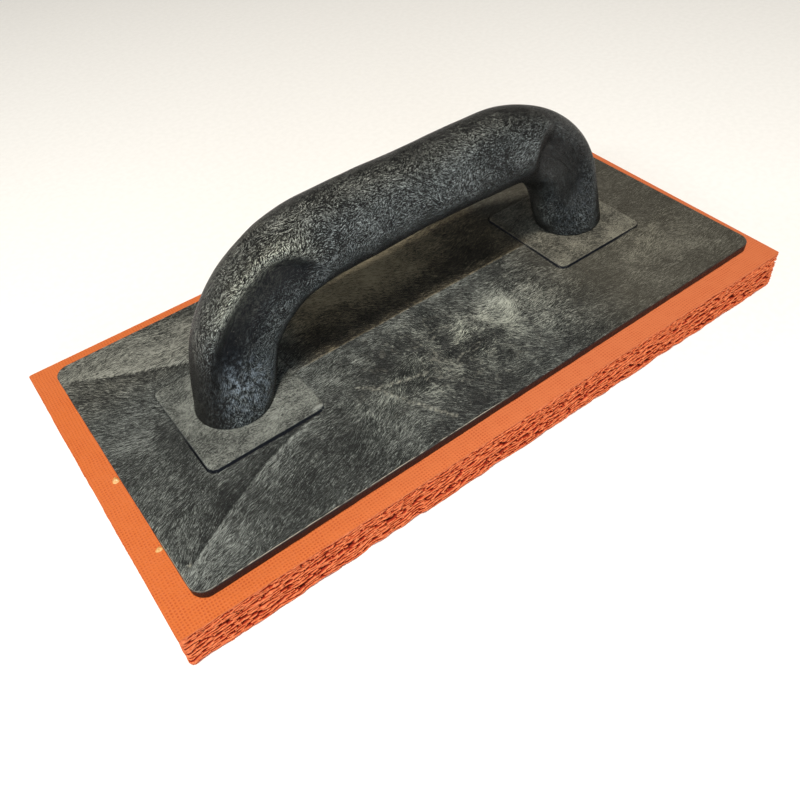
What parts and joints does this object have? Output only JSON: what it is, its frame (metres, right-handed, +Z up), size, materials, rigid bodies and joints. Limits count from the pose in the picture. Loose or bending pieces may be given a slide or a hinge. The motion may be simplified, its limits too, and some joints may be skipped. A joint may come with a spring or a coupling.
{
  "type": "sponge rubber hand float",
  "caption": "Rectangular hand float: orange sponge rubber pad glued under a black moulded plastic plate, with a bridge handle held by hidden screws.",
  "frame": {"origin": "centre of the pad's working face, which is the underside that rests on the surface", "axes": "+X along the float's length, +Y across it, +Z up from the working face to the handle"},
  "size_m": [0.28, 0.14, 0.0867],
  "materials": {
    "sponge_rubber": "open-cell sponge rubber with a fine cloth-printed skin, matt",
    "dried_glue": "dried contact glue, amber, slightly glossy",
    "plate_plastic": "black structural-foam plastic with grey flow streaks, satin",
    "handle_plastic": "black structural-foam plastic with fine grey swirl marks, satin",
    "zinc_steel": "bright zinc plated steel"
  },
  "bodies": {
    "root": {"sponge_pad": "sponge_rubber", "glue_film": "dried_glue", "float_plate": "plate_plastic", "handle": "handle_plastic", "screw_left_outer": "zinc_steel", "screw_left_inner": "zinc_steel", "screw_right_inner": "zinc_steel", "screw_right_outer": "zinc_steel"}
  },
  "joints": []
}
